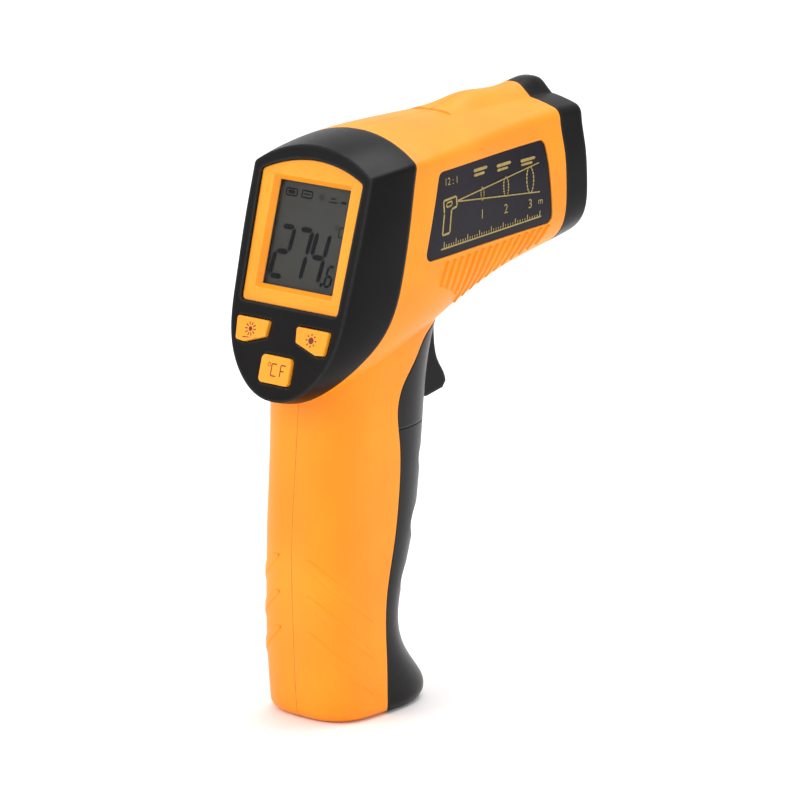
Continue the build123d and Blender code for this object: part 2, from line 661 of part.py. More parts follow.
def sensor_barrel():
    """Tube behind the nose that holds the lens at its front and the detector at its back."""
    front = NOSE_Y - CONE_DEPTH
    back = front - BARREL_LENGTH
    tube = bar(BARREL_R, (0, back, LENS_Z), (0, front, LENS_Z))
    tube = tube - bar(LENS_R - 0.6, (0, back + 3.0, LENS_Z), (0, front + 1, LENS_Z))
    tube = tube - bar(LENS_R + 0.2 + SLIP, (0, front - LENS_THICK - 0.1, LENS_Z), (0, front + 1, LENS_Z))
    return tube - bar(DETECTOR_R + SLIP, (0, back - 1, LENS_Z), (0, back + 4, LENS_Z))


def fresnel_lens():
    """Thin infrared lens seated in the front of the sensor barrel."""
    front = NOSE_Y - CONE_DEPTH
    return bar(LENS_R + 0.2, (0, front - LENS_THICK, LENS_Z), (0, front - 0.05, LENS_Z))


def thermopile():
    """The infrared detector, a small metal can in the back of the sensor barrel."""
    back = NOSE_Y - CONE_DEPTH - BARREL_LENGTH
    can = bar(DETECTOR_R, (0, back + 0.02, LENS_Z), (0, back + 3.4, LENS_Z))
    return can - bar(1.3, (0, back + 3.0, LENS_Z), (0, back + 4, LENS_Z))


def sensor_board():
    """Small round-cornered board on the back of the sensor barrel."""
    back = NOSE_Y - CONE_DEPTH - BARREL_LENGTH
    plate = Plane(origin=(0, back, LENS_Z), x_dir=(1, 0, 0), z_dir=(0, -1, 0)) * RectangleRounded(20, 20, 2)
    return extrude(plate, amount=1.4)


def laser_module():
    """Brass laser module under the hump."""
    front = NOSE_Y - NOSE_WALL - SLIP
    body = bar(LASER_R, (0, front - LASER_LENGTH, LASER_Z), (0, front, LASER_Z))
    return body - bar(LASER_HOLE_R + 0.2, (0, front - 1.2, LASER_Z), (0, front + 1, LASER_Z))


def laser_lens():
    """Clear plug in the nose's laser opening."""
    return bar(LASER_HOLE_R - 0.04, (0, NOSE_Y - 1.4, LASER_Z), (0, NOSE_Y - 0.5, LASER_Z))


def laser_holder():
    """Saddle that carries the laser module on top of the sensor barrel."""
    front = NOSE_Y - NOSE_WALL - 5.5
    saddle = block((-4.0, front - 8.0, LENS_Z), (4.0, front, LASER_Z - 0.6))
    saddle = saddle - bar(BARREL_R + 0.05, (0, front - 20, LENS_Z), (0, front + 20, LENS_Z))
    return saddle - bar(LASER_R + 0.05, (0, front - 20, LASER_Z), (0, front + 20, LASER_Z))


def side_label():
    """Printed label in the right side's recess."""
    return label_band(LABEL_DEPTH - LABEL_THICK, LABEL_DEPTH, -SLIP)


def trigger_frame(env, hollows):
    """Black moulding behind and round the trigger, with cheeks inside for the trigger's pin."""
    zone = front_zone() & block((-BIG, -BIG, DOOR_TOP + RUN), (BIG, BIG, BIG))
    frame = env & zone
    for tool in hollows[:2]:
        frame = frame - (tool & zone)
    cheek = block((TRIGGER_HALF + 0.5, PIVOT_Y - 10.5, DOOR_TOP + 2),
                  (TRIGGER_HALF + 2.5, PIVOT_Y + 8, PIVOT_Z + 4))
    frame = frame + (cheek & (grip() - block((-BIG, -BIG, 95), (BIG, -BIG / 2, BIG))) & front_zone())
    frame = both(frame)
    slot = block((-TRIGGER_HALF - 0.4, PIVOT_Y - 14, DOOR_TOP + 2.1),
                 (TRIGGER_HALF + 0.4, PIVOT_Y + 30, PIVOT_Z + 3.4))
    return frame - slot - bar(TRIGGER_PIN_R + CONTACT, (-BIG, PIVOT_Y, PIVOT_Z), (BIG, PIVOT_Y, PIVOT_Z))


def hinge_lug():
    """Right lug of the battery door, bored for the pin, just inside the ear of the case."""
    outer = EAR_IN - 2 * RUN
    inner = outer - EAR_THICK
    lug = bar(LUG_R, (inner, HINGE_Y, HINGE_Z), (outer, HINGE_Y, HINGE_Z))
    lug = lug + block((inner, HINGE_Y, 0.8), (outer, HINGE_Y + LUG_R, HINGE_Z))
    return lug - bar(HINGE_PIN_R + PIN_PLAY, (0, HINGE_Y, HINGE_Z), (BIG, HINGE_Y, HINGE_Z))


def battery_door(env, hollows):
    """Black front of the grip, which swings forward and down on the pin in the foot."""
    zone = front_zone() & block((-BIG, -BIG, -1), (BIG, BIG, DOOR_TOP))
    door = (env & zone) - (hollows[1] & zone)
    start = EAR_IN - RUN
    end = EAR_IN + EAR_THICK + RUN
    door = door - bar(HINGE_Z + 0.4, (start, HINGE_Y, HINGE_Z), (end, HINGE_Y, HINGE_Z))
    return both(door + hinge_lug())


def trigger():
    """The trigger: a concave blade that turns on a pin near its top."""
    y, z = PIVOT_Y, PIVOT_Z
    blade = Spline((y + 7.6, z + 1.2), (y + 7.4, z - 5.5), (y + 9.0, z - 11.5), (y + 11.6, z - 15.8),
                   (y + 11.9, z - 17.2))
    lower = Polyline((y + 11.9, z - 17.2), (y + 10.7, z - 18.7), (y + 4.6, z - 19.9), (y - 4.0, z - 19.4),
                     (y - 4.6, z - 8), (y - 2.6, z), (y - 1.2, z + 2.3), (y + 3, z + 2.3),
                     (y + 7.6, z + 1.2))
    body = side_prism(make_face([blade, lower]), TRIGGER_HALF)
    return body - bar(TRIGGER_PIN_R + PIN_PLAY, (-BIG, y, z), (BIG, y, z))


def trigger_pin():
    """Steel pin that the trigger turns on, pressed into the frame's cheeks."""
    end = TRIGGER_HALF + 2.5
    return bar(TRIGGER_PIN_R, (-end, PIVOT_Y, PIVOT_Z), (end, PIVOT_Y, PIVOT_Z))


def trigger_board():
    """Small board across the back of the cheeks that carries the trigger's switch."""
    back = PIVOT_Y - 10.5
    return block((-8.2, back - 1.2, PIVOT_Z - 18), (8.2, back, PIVOT_Z - 5))


def trigger_switch():
    """Press switch that the trigger's back closes."""
    back = PIVOT_Y - 10.5
    z = PIVOT_Z - 10.5
    body = block((-3, back, z - 3), (3, back + 2.2, z + 3))
    return body + bar(1.5, (0, back + 2.0, z), (0, back + 3.4, z))


def coil(radius, wire, start, direction, length, turns):
    """A round-wire compression spring from start along direction."""
    plane = Plane(origin=start, z_dir=direction)
    path = Helix(pitch=(length - 2 * wire) / turns, height=length - 2 * wire, radius=radius)
    path = Pos(0, 0, wire) * path
    section = Plane(origin=path @ 0, z_dir=path % 0) * Circle(wire)
    return plane * sweep(section, path)


def trigger_spring():
    """Spring between the trigger's back and its board."""
    back = PIVOT_Y - 10.5
    gap = 5.7
    return coil(SPRING_R, SPRING_WIRE, (0, back + 0.05, PIVOT_Z - 16.0), (0, 1, 0), gap, 5)


def battery_tray():
    """Carrier for the two cells, open towards the door."""
    top = TRAY_BASE + TRAY_LENGTH
    tray = grip_space(WALL + SLIP) & block((-BIG, -BIG, TRAY_BASE), (BIG, BIG, top))
    tray = both(tray)
    tray = tray - front_zone(RUN + 0.6)
    half = CELL_SPACING / 2 + CELL_R + SLIP
    pocket = block((-half, CELL_Y - CELL_R - SLIP, TRAY_BASE + TRAY_WALL), (half, BIG, top - TRAY_WALL))
    relief = block((-8, -BIG, TRAY_BASE + 3), (8, CELL_Y - CELL_R - SLIP - TRAY_WALL, top - 3))
    return tray - pocket - relief


def cell(side):
    """One AAA cell; the two stand opposite ways up."""
    x = side * CELL_SPACING / 2
    low = TRAY_BASE + TRAY_WALL + (CELL_SPRING + 0.4 if side > 0 else 0.45)
    nub = 1.0
    body_low = low if side > 0 else low + nub
    body = bar(CELL_R, (x, CELL_Y, body_low), (x, CELL_Y, body_low + CELL_LENGTH - nub))
    tip = bar(1.9, (x, CELL_Y, low), (x, CELL_Y, low + CELL_LENGTH))
    return body + tip


def cell_contacts():
    """Flat contact plates at the cells' caps and behind their springs."""
    made = []
    for level in (TRAY_BASE + TRAY_WALL, TRAY_BASE + TRAY_LENGTH - TRAY_WALL - 0.4):
        for side in (-1, 1):
            x = side * CELL_SPACING / 2
            made.append(block((x - 4.2, CELL_Y - 4.6, level + 0.01), (x + 4.2, CELL_Y + 4.6, level + 0.39)))
    return made


def cell_springs():
    """Coil springs against the flat ends of the cells."""
    x = CELL_SPACING / 2
    low = TRAY_BASE + TRAY_WALL + 0.4
    high = TRAY_BASE + TRAY_LENGTH - TRAY_WALL - 0.4
    return [coil(3.2, 0.3, (x, CELL_Y, low), (0, 0, 1), CELL_SPRING, 3),
            coil(3.2, 0.3, (-x, CELL_Y, high), (0, 0, -1), CELL_SPRING, 3)]


def write(name, *shapes):
    """Writes one sub-part, a solid or a group of separate solids."""
    solids = [solid for shape in shapes for solid in shape.solids()]
    export_step(solids[0] if len(solids) == 1 else Compound(children=solids), f"parts/{name}.step")


def main():
    """Builds every sub-part and writes it."""
    os.makedirs("parts", exist_ok=True)
    env = envelope()
    hollows = hollow()
    write("right_body_shell", right_half(env, hollows))
    write("left_body_shell", left_half(env, hollows))
    write("case_screws", *case_screws())
    write("rear_bezel", rear_bezel(env, hollows))
    write("display_frame", display_frame())
    write("display_window", display_window())
    write("lcd_glass", lcd_glass())
    write("backlight_panel", backlight_panel())
    write("zebra_strip", zebra_strip())
    write("main_board", main_board())
    write("board_screws", *board_screws())
    write("main_chip", main_chip())
    write("buzzer", buzzer())
    write("button_switches", *button_switches())
    write("laser_button", button(side_button_outline(-1), side_button_outline(-1, 0.9), BUTTON_PLACES[0]))
    write("backlight_button", button(side_button_outline(1), side_button_outline(1, 0.9), BUTTON_PLACES[1]))
    write("unit_button", button(middle_button_outline(), middle_button_outline(0.9), BUTTON_PLACES[2]))
    write("nose_ring", nose_ring(env, hollows))
    write("sensor_barrel", sensor_barrel())
    write("infrared_lens", fresnel_lens())
    write("thermopile_sensor", thermopile())
    write("sensor_board", sensor_board())
    write("laser_module", laser_module())
    write("laser_lens", laser_lens())
    write("laser_holder", laser_holder())
    write("right_label", side_label())
    write("left_label", mirrored(side_label()))
    write("trigger_frame", trigger_frame(env, hollows))
    write("trigger", trigger())
    write("trigger_pin", trigger_pin())
    write("trigger_board", trigger_board())
    write("trigger_switch", trigger_switch())
    write("trigger_spring", trigger_spring())
    write("battery_door", battery_door(env, hollows))
    write("door_hinge_pin", hinge_pin())
    write("battery_tray", battery_tray())
    write("right_cell", cell(1))
    write("left_cell", cell(-1))
    write("cell_contacts", *cell_contacts())
    write("cell_springs", *cell_springs())


if __name__ == "__main__":
    main()
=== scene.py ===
"""Looks of a hand-held infrared thermometer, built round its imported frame. Metres, +Z up, +Y to the nose."""
import math

import bpy
import numpy as np
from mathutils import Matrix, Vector


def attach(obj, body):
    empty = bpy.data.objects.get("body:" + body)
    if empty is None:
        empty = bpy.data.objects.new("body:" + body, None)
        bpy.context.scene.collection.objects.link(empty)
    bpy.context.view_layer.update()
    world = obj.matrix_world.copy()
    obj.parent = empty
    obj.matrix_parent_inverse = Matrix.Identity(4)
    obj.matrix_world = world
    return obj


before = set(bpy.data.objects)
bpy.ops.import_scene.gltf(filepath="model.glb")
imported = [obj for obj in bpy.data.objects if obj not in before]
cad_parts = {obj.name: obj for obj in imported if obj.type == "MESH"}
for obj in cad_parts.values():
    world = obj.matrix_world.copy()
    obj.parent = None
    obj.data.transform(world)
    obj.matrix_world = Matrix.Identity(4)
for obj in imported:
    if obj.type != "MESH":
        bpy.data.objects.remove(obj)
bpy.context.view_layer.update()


# ---- studio ----
# The thermometer stands upright on its foot on a pale table, seen from its rear right with a long lens.
# Three soft panels of light and a pale room: plain product lighting with hardly any shadow.
MM = 0.001
AZIMUTH = math.radians(41.56)
ELEVATION = math.radians(13.76)
FOCAL_LENGTH = 220.5
DISTANCE = 1.249
AIM = Vector((0.0, -0.002, 0.0757))
back = Vector((math.sin(AZIMUTH) * math.cos(ELEVATION), -math.cos(AZIMUTH) * math.cos(ELEVATION),
               math.sin(ELEVATION)))

camera = bpy.data.objects.new("camera", bpy.data.cameras.new("camera"))
camera.data.lens = FOCAL_LENGTH
camera.data.sensor_width = 36.0
camera.location = AIM + back * DISTANCE
camera.rotation_euler = back.to_track_quat("Z", "Y").to_euler()
bpy.context.scene.collection.objects.link(camera)
bpy.context.scene.camera = camera

CASE_MIDDLE = Vector((0, 0, 0.08))


def soft_light(name, place, size, power):
    """A square panel of light at place, aimed at the middle of the case."""
    panel = bpy.data.lights.new(name, "AREA")
    panel.size = size
    panel.energy = power
    holder = bpy.data.objects.new(name, panel)
    holder.location = place
    holder.rotation_euler = (Vector(place) - CASE_MIDDLE).to_track_quat("Z", "Y").to_euler()
    bpy.context.scene.collection.objects.link(holder)


soft_light("key_light", (-0.55, -1.15, 0.85), 0.8, 6.5)
soft_light("side_light", (1.3, -0.25, 0.55), 0.9, 1.0)
soft_light("top_light", (0.0, 0.35, 1.3), 0.9, 12.0)

ROOM_LIGHT = 0.9
room = bpy.data.worlds.new("room")
room.use_nodes = True
room.node_tree.nodes["Background"].inputs["Color"].default_value = (1.0, 1.0, 1.0, 1.0)
room.node_tree.nodes["Background"].inputs["Strength"].default_value = ROOM_LIGHT
bpy.context.scene.world = room
bpy.context.scene.view_settings.view_transform = "Standard"


def paint(red, green, blue):
    """A display colour of 0 to 255 as linear light, with full alpha."""
    share = np.array([red, green, blue]) / 255
    linear = np.where(share <= 0.04045, share / 12.92, ((share + 0.055) / 1.055) ** 2.4)
    return (*linear.tolist(), 1.0)


FLAT_FROM = 0.985
EDGE_FROM = 0.8


class Wire:
    """A shader socket on which sums and products add Math nodes."""

    def __init__(self, finish, socket):
        self.finish = finish
        self.socket = socket

    def _math(self, operation, a, b):
        return self.finish.node("ShaderNodeMath", {"operation": operation}, {0: a, 1: b})

    def __add__(self, other):
        return self._math("ADD", self, other)

    def __radd__(self, other):
        return self._math("ADD", other, self)

    def __mul__(self, other):
        return self._math("MULTIPLY", self, other)

    def __rmul__(self, other):
        return self._math("MULTIPLY", other, self)


class Finish:
    """A material, whose nodes all come from the method node."""

    def __init__(self, name, **values):
        self.data = bpy.data.materials.new(name)
        self.data.use_nodes = True
        self.shader = self.data.node_tree.nodes["Principled BSDF"]
        self.set(**values)

    def node(self, kind, settings, sockets, output=0):
        """Adds a node: its settings and ramp stops first, then its sockets from values or wires."""
        made = self.data.node_tree.nodes.new(kind)
        stops = settings.pop("stops", [])
        for key, value in settings.items():
            setattr(made, key, value)
        for number, (place, colour) in enumerate(stops):
            stop = made.color_ramp.elements[number] if number < 2 else made.color_ramp.elements.new(place)
            stop.position = place
            stop.color = colour
        for key, value in sockets.items():
            self.join(made.inputs[key], value)
        return Wire(self, made.outputs[output])

    def join(self, socket, value):
        """Links a wire to a socket, or sets the socket's own value."""
        if isinstance(value, Wire):
            self.data.node_tree.links.new(value.socket, socket)
        else:
            socket.default_value = value

    def set(self, **values):
        """Sets sockets of the shader by name, with _ for a space."""
        for key, value in values.items():
            self.join(self.shader.inputs[key.replace("_", " ")], value)

    def grains(self, per_metre, detail=2.0, roughness=0.5):
        """Even noise from 0 to 1 with so many cells to the metre."""
        place = self.node("ShaderNodeTexCoord", {}, {}, "Object")
        return self.node("ShaderNodeTexNoise", {}, {"Vector": place, "Scale": per_metre, "Detail": detail,
                                                    "Roughness": roughness}, "Fac")

    def ramp(self, wire, *stops):
        """Colours over a wire, each stop a place and a colour."""
        return self.node("ShaderNodeValToRGB", {"stops": list(stops)}, {"Fac": wire}, "Color")

    def mix(self, share, first, second):
        """The first colour going over to the second as share goes from 0 to 1."""
        return self.node("ShaderNodeMix", {"data_type": "RGBA"}, {0: share, 6: first, 7: second}, 2)

    def edges(self, radius, width):
        """A normal rounded at sharp edges by radius, and a mask that is 1 on edges and 0 on flat surfaces."""
        rounded = self.node("ShaderNodeBevel", {"samples": 4}, {"Radius": radius})
        wide_bevel = self.node("ShaderNodeBevel", {"samples": 4}, {"Radius": width})
        flat = self.node("ShaderNodeNewGeometry", {}, {}, "Normal")
        agree = self.node("ShaderNodeVectorMath", {"operation": "DOT_PRODUCT"}, {0: wide_bevel, 1: flat}, "Value")
        mask = self.node("ShaderNodeMapRange", {}, {"Value": agree, "From Min": FLAT_FROM,
                                                    "From Max": EDGE_FROM})
        return rounded, mask


def moulded(name, deep, clear, edge_wear_and_highlight, gloss, grain, radius=0.0005, shine=0.5):
    """Moulded plastic: broad drifts of two tones, a fine spark-eroded grain, soft scuffs, and a lighter colour
    along sharp edges that is partly wear and partly a painted highlight where rounded edges catch light.
    """
    finish = Finish(name, Specular_IOR_Level=shine)
    drift = finish.grains(45.0)
    scuff = finish.grains(700.0, 5.0, 0.65)
    fine = finish.grains(3800.0, 2.0, 0.6)
    rounded, rim = finish.edges(radius, radius * 1.6)
    tone = finish.ramp(drift * 0.75 + scuff * 0.25, (0.38, deep), (0.62, clear))
    height = finish.node("ShaderNodeBump", {}, {"Height": fine, "Strength": grain, "Distance": 0.00005,
                                                "Normal": rounded})
    # Along sharp edges the tone goes over to the edge colour: a painted highlight where rounded edges catch
    # light, partly rubbed wear.
    finish.set(Base_Color=finish.mix(rim * (scuff * 0.8 + 0.2), tone, edge_wear_and_highlight),
               Roughness=scuff * 0.2 + (gloss - 0.1), Normal=height)
    return finish.data


def give(material, *nodes):
    """Gives CAD nodes a finish."""
    for node in nodes:
        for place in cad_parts[node].material_slots:
            place.material = material


table_top = Finish("pale_table")
table_top.set(Base_Color=table_top.ramp(table_top.grains(9.0), (0.3, (0.93, 0.93, 0.93, 1)),
                                        (0.7, (0.96, 0.96, 0.96, 1))),
              Roughness=table_top.grains(60.0) * 0.1 + 0.55)
REACH = 9
table = bpy.data.meshes.new("table")
table.from_pydata([(-REACH, -REACH, 0), (REACH, -REACH, 0), (REACH, REACH, 0), (-REACH, REACH, 0)], [],
                  [(0, 1, 2, 3)])
table.materials.append(table_top.data)
floor = bpy.data.objects.new("floor", table)
bpy.context.scene.collection.objects.link(floor)


# ---- orange body ----
# Two half shells of injection-moulded ABS, orange right through, with a satin spark-eroded skin.
# They meet on the middle plane and are screwed together from the left.
SIDES = ((1, "right", "right_body_shell"), (-1, "left", "left_body_shell"))
orange_body = moulded("orange_abs", paint(250, 140, 6), paint(252, 149, 10), paint(255, 172, 58), 0.42, 0.12,
                      shine=0.32)
give(orange_body, "right_body_shell", "left_body_shell")


def drape(points, node, lift=0.0):
    """Points moved to the nearest place on a CAD node's skin, then out along its smoothed normal by lift."""
    mesh = bpy.data.meshes.new("drape")
    mesh.from_pydata(points.tolist(), [], [])
    probe = bpy.data.objects.new("drape", mesh)
    bpy.context.scene.collection.objects.link(probe)
    wrap = probe.modifiers.new("wrap", "SHRINKWRAP")
    wrap.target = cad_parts[node]
    wrap.wrap_method = "NEAREST_SURFACEPOINT"
    wrap.wrap_mode = "ABOVE_SURFACE"
    wrap.offset = lift
    settled = probe.evaluated_get(bpy.context.evaluated_depsgraph_get()).data
    found = np.empty(len(points) * 3)
    settled.vertices.foreach_get("co", found)
    bpy.data.objects.remove(probe)
    return found.reshape(-1, 3)


def lattice(rows, columns):
    """Four-sided faces of a grid of rows by columns points, row after row."""
    start = (np.arange(rows - 1)[:, None] * columns + np.arange(columns - 1)).ravel()
    return np.stack([start, start + columns, start + columns + 1, start + 1], 1)


def piece(name, points, faces, material, body, smooth=True):
    """A new object from arrays of points and faces, riding a body."""
    mesh = bpy.data.meshes.new(name)
    mesh.from_pydata(np.asarray(points).tolist(), [], [list(map(int, face)) for face in faces])
    mesh.polygons.foreach_set("use_smooth", np.full(len(mesh.polygons), smooth))
    mesh.materials.append(material)
    mesh.update()
    made = bpy.data.objects.new(name, mesh)
    bpy.context.scene.collection.objects.link(made)
    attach(made, body)
    return made


BAND_ACROSS = 9


def raised_band(line, across, width, height, node):
    """A low raised band along a line on a node's skin.

    Along the line the width is the given taper times the square root of a sine, so both ends close round.
    Across it the height is 1.12 less 1.3 times the eighth power of the share from the middle, so the band
    is flat with soft sides that end just under the skin.
    """
    along = np.linspace(0, 1, len(line))[:, None]
    share = np.linspace(-1, 1, BAND_ACROSS)[None, :]
    taper = (width[0] + (width[1] - width[0]) * along) / 2
    half = taper * np.sqrt(np.sin(np.pi * np.clip(along, 0.004, 0.996)))
    spread = line[:, None, :] + (half * share)[:, :, None] * across
    flat = spread.reshape(-1, 3)
    skin = drape(flat, node)
    out = drape(flat, node, MM) - skin
    out /= np.linalg.norm(out, axis=1, keepdims=True)
    rise = (height * (1.12 - share ** 8 * 1.3) * np.ones_like(along)).reshape(-1, 1)
    return skin + out * rise


def joined(grids, rows):
    """Several equal grids of bands' points as one set of points and faces."""
    faces = lattice(rows, BAND_ACROSS)
    shift = rows * BAND_ACROSS
    return np.concatenate(grids), np.concatenate([faces + number * shift for number in range(len(grids))])


# The flutes under the labels lean forward as they rise. They start from a rough barrel, half an ellipse
# 24.5 mm deep that reaches 19 mm to the side of a flat 4 mm core, and settle on the shell from there.
FLUTES = 15
FLUTE_ROWS = 26
FLUTE_PITCH = 3.05
FLUTE_LEAN = 0.34
FLUTE_WIDTH = (2.3 * MM, 2.1 * MM)
FLUTE_HEIGHT = 0.45 * MM
BARREL_CORE = 4.0
BARREL_SIDE = 19.0
BARREL_MIDDLE = 124
BARREL_DEPTH = 24.5
for side, shell, node in SIDES:
    flutes = []
    for number in range(FLUTES):
        share = np.linspace(0, 1, FLUTE_ROWS)
        foot = 103.2 + max(0.0, number - 3) * 0.62
        top = 115.6 + number * 0.1
        z = foot + (top - foot) * share
        y = -7.5 + number * FLUTE_PITCH - (top - z) * FLUTE_LEAN
        below = (BARREL_MIDDLE - z) / BARREL_DEPTH
        x = BARREL_CORE + BARREL_SIDE * np.sqrt(np.clip(1 - below ** 2, 0.05, 1))
        line = np.stack([side * x, y, z], 1) * MM
        flutes.append(raised_band(line, np.array([0, 0.9, 0.35]), FLUTE_WIDTH, FLUTE_HEIGHT, node))
    points, faces = joined(flutes, FLUTE_ROWS)
    piece(shell + "_barrel_flutes", points, faces[:, ::side], orange_body, "case")

# Three long strokes run down round the grip's back corner on each side, narrower towards their lower ends.
STROKE_TOPS = (42.5, 33.0, 23.5)
STROKE_ROWS = 60
STROKE_DROP = 17.0
STROKE_WIDTH = (4.8 * MM, 2.0 * MM)
STROKE_HEIGHT = 0.24 * MM
for side, shell, node in SIDES:
    strokes = []
    for top in STROKE_TOPS:
        share = np.linspace(0, 1, STROKE_ROWS)
        x = np.interp(share, [0, 0.3, 0.55, 0.8, 1], [4.6, 10.6, 14.2, 15.4, 15.8])
        y = np.interp(share, [0, 0.3, 0.55, 0.8, 1], [-43.6, -42.0, -37.6, -32.5, -28.3])
        z = top - STROKE_DROP * share ** 1.15
        line = np.stack([side * x, y, z], 1) * MM
        strokes.append(raised_band(line, np.array([0, 0.25, 0.97]), STROKE_WIDTH, STROKE_HEIGHT, node))
    points, faces = joined(strokes, STROKE_ROWS)
    piece(shell + "_grip_strokes", points, faces[:, ::side], orange_body, "case")

# Behind the seam with the black grip each shell has an inner lip that stands 1 mm past the shell's edge.
# A row is a place on the seam: its height, its Y, and how far out the shell's and the grip's inner walls are.
SEAM = np.array([(6.0, -23.6, 11.90, 11.78), (13.0, -23.6, 12.21, 11.89), (24.5, -23.2, 12.23, 11.85),
                 (31.0, -22.8, 12.19, 11.88), (37.0, -21.5, 12.06, 11.72), (43.0, -20.2, 11.96, 11.62),
                 (50.0, -19.3, 12.00, 11.70), (57.0, -18.4, 12.12, 11.83), (63.5, -18.6, 12.36, 12.16),
                 (70.0, -18.8, 12.62, 12.48), (74.8, -19.5, 12.85, 12.76), (79.5, -20.2, 13.05, 13.00),
                 (82.2, -19.4, 13.14, 13.05), (85.0, -18.6, 13.20, 13.09), (87.8, -16.4, 13.14, 12.93),
                 (90.5, -14.2, 12.93, 12.57), (93.2, -11.8, 12.46, 12.10)])
LIP_SINK = 0.05
LIP_ROOM = 0.15
LIP_WALL = 0.7


def seam_lip(side):
    """Corners of the lip, four to a place on the seam, 1 mm to both sides of it square to the seam's run."""
    height, depth, shell_wall, grip_wall = SEAM.T
    run = np.gradient(np.stack([depth, height], 1), axis=0)
    square = np.stack([run[:, 1], -run[:, 0]], 1) / np.linalg.norm(run, axis=1, keepdims=True)
    back_out = shell_wall + LIP_SINK
    front_out = grip_wall - LIP_ROOM
    rows = []
    for out, way in ((back_out, -1), (front_out, 1), (front_out - LIP_WALL, 1), (back_out - LIP_WALL, -1)):
        rows.append(np.stack([side * out, depth + way * square[:, 0], height + way * square[:, 1]], 1))
    return np.stack(rows, 1).reshape(-1, 3) * MM


for side, shell, _ in SIDES:
    start = np.arange(len(SEAM) - 1)[:, None] * 4 + np.arange(4)
    turned = np.arange(len(SEAM) - 1)[:, None] * 4 + np.roll(np.arange(4), -1)
    around = np.stack([start, turned, turned + 4, start + 4], 2).reshape(-1, 4)
    ends = np.array([[3, 2, 1, 0], np.arange(4) + len(SEAM) * 4 - 4])
    piece(shell + "_seam_lip", seam_lip(side), np.concatenate([around, ends])[:, ::side], orange_body, "case",
          smooth=False)


# ---- black trim ----
# The hood round the display, the ring on the nose and the grip's front are black moulded plastic with a soft
# sheen. The hood and ring are trapped between the half shells; the grip's front is the battery door.
# The third colour of each black plastic is a painted highlight along its sharp edges, partly wear.
black_trim = moulded("black_abs", paint(15, 13, 13), paint(20, 18, 18), paint(66, 70, 68), 0.32, 0.2,
                     0.0009, 0.1)
give(black_trim, "rear_bezel", "nose_ring")
black_grip = moulded("black_grip_abs", paint(14, 13, 13), paint(20, 18, 19), paint(60, 62, 62), 0.32, 0.25,
                     0.0008, 0.14)
give(black_grip, "trigger_frame", "battery_door")
black_trigger = moulded("black_trigger_abs", paint(13, 12, 13), paint(18, 17, 18), paint(52, 52, 54), 0.3,
                        0.15, 0.001, 0.12)
give(black_trigger, "trigger")


# ---- display ----
# An orange frame clipped into the hood holds a clear window; behind it lies the grey liquid-crystal glass.
# Its reading is a plain three-digit number with a smaller tenth, a unit and a few plain marks along the top.
FACE_PLACE = np.array([0, -34.39, 140.28])
FACE_RIGHT = np.array([1.0, 0, 0])
FACE_UP = np.array([0, 0.2672, 0.9636])
FACE_OUT = np.array([0, -0.9636, 0.2672])
orange_frame = moulded("orange_frame_abs", paint(250, 150, 18), paint(253, 160, 28), paint(255, 190, 92),
                       0.38, 0.1, 0.0004, 0.35)
give(orange_frame, "display_frame")

window = Finish("clear_window", Base_Color=(0.02, 0.025, 0.03, 1), Specular_IOR_Level=0.5)
window.set(Roughness=window.grains(400.0) * 0.06 + 0.05, Alpha=window.grains(120.0) * 0.05 + 0.12)
give(window.data, "display_window")

lcd = Finish("lcd_glass", Specular_IOR_Level=0.2)
lcd.set(Base_Color=lcd.ramp(lcd.grains(70.0), (0.35, paint(70, 69, 64)), (0.65, paint(78, 77, 72))),
        Roughness=lcd.grains(2500.0) * 0.1 + 0.45)
give(lcd.data, "lcd_glass")
backlight = Finish("backlight_diffuser")
backlight.set(Base_Color=backlight.ramp(backlight.grains(200.0), (0.3, paint(225, 228, 226)),
                                        (0.7, paint(236, 238, 236))),
              Roughness=backlight.grains(2500.0) * 0.1 + 0.4)
give(backlight.data, "backlight_panel")


def on_face(flat, depth):
    """Points of the sloping face: x to the right, v up the slope, depth behind it, in millimetres."""
    x, v = flat[:, :1], flat[:, 1:2]
    return (FACE_PLACE + x * FACE_RIGHT + v * FACE_UP - depth * FACE_OUT) * MM


def bar_mark(start, end, width):
    """A flat stroke from start to end with pointed ends, as six corners."""
    start, end = np.array(start, float), np.array(end, float)
    along = (end - start) / np.linalg.norm(end - start)
    across = np.array([-along[1], along[0]]) * width / 2
    slope = along * width / 2
    return np.array([start, start + slope - across, end - slope - across, end, end - slope + across,
                     start + slope + across])


SEGMENTS = {"a": ((0, 1), (1, 1)), "b": ((1, 1), (1, 0.5)), "c": ((1, 0.5), (1, 0)), "d": ((1, 0), (0, 0)),
            "e": ((0, 0), (0, 0.5)), "f": ((0, 0.5), (0, 1)), "g": ((0, 0.5), (1, 0.5))}
LIT = {"2": "abged", "7": "abc", "4": "fgbc", "6": "afgedc"}
DIGIT_LEAN = 0.12
STROKE_GAP = 0.12


def digit(mark, x, v, width, height, stroke):
    """Seven-segment strokes of one digit, leaning a little to the right as they rise."""
    size = np.array([width, height])
    strokes = []
    for name in LIT[mark]:
        start, end = (np.array(corner, float) * size for corner in SEGMENTS[name])
        gap = (end - start) / np.linalg.norm(end - start) * stroke * STROKE_GAP
        strokes.append(bar_mark(start + gap, end - gap, stroke))
    return [np.stack([x + s[:, 0] + s[:, 1] * DIGIT_LEAN, v + s[:, 1]], 1) for s in strokes]


def polygons(shapes):
    """Outlines as one set of flat points and one face each."""
    counts = np.cumsum([0] + [len(shape) for shape in shapes])
    return np.concatenate(shapes), [np.arange(a, b) for a, b in zip(counts[:-1], counts[1:])]


def outline(corners, stroke):
    """Strokes from each corner to the next, and from the last to the first."""
    return [bar_mark(a, b, stroke) for a, b in zip(corners, np.roll(corners, -1, 0))]


def box_mark(x, v, width, height, stroke):
    """Four strokes round a box."""
    return outline([(x, v), (x + width, v), (x + width, v + height), (x, v + height)], stroke)


